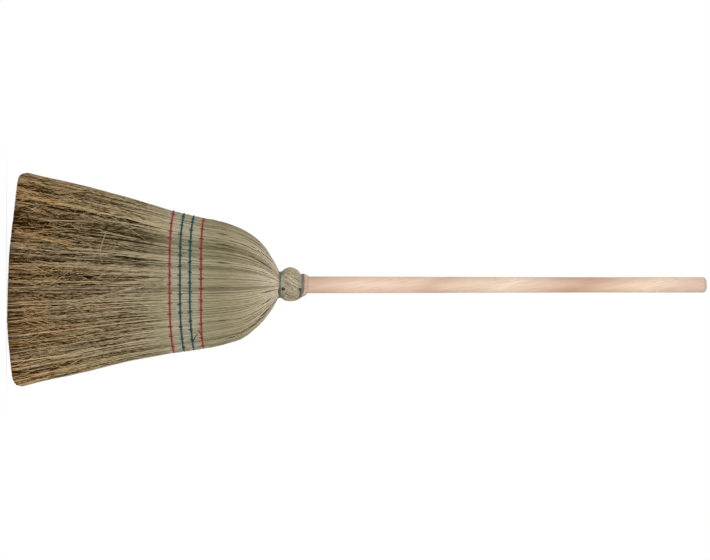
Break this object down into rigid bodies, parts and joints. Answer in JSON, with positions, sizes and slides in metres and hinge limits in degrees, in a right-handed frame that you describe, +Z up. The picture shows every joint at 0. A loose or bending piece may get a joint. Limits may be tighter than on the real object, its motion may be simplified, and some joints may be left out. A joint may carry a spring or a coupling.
{
  "type": "corn broom",
  "caption": "Flat corn broom: a sewn fan of straw wired to a round wooden handle, with a twisted straw ball at the neck, for sweeping floors by hand.",
  "frame": {"origin": "middle of the sweeping edge in plan, at floor level, with the broom standing upright on its trimmed straw tips", "axes": "+Z up the handle, +X across the width of the straw fan, +Y through its thickness from the pictured front towards the back"},
  "size_m": [0.3615, 0.0621, 1.2],
  "materials": {
    "handle_wood": "smooth turned beech, thinly sealed",
    "cover_straw": "dry broom corn, olive tan above and golden brown at the tips",
    "inner_straw": "dry broom corn stalks",
    "neck_straw": "pale twisted broom corn stems",
    "red_twine": "dull red twisted twine",
    "blue_twine": "dull teal blue twisted twine",
    "binding_wire": "dull tinned steel wire",
    "nail_iron": "dark blued iron"
  },
  "bodies": {
    "root": {"handle": "handle_wood", "front_core_straw": "inner_straw", "back_core_straw": "inner_straw", "left_shoulder_straw": "inner_straw", "right_shoulder_straw": "inner_straw", "core_wire": "binding_wire", "shoulder_wire": "binding_wire", "red_seam_lower": "red_twine", "blue_seam_lower": "blue_twine", "blue_seam_upper": "blue_twine", "red_seam_upper": "red_twine", "front_cover_straw": "cover_straw", "back_cover_straw": "cover_straw", "neck_ball_straw": "neck_straw", "lower_neck_wire": "binding_wire", "upper_neck_wire": "binding_wire", "lower_neck_nail": "nail_iron", "upper_neck_nail": "nail_iron"}
  },
  "joints": []
}
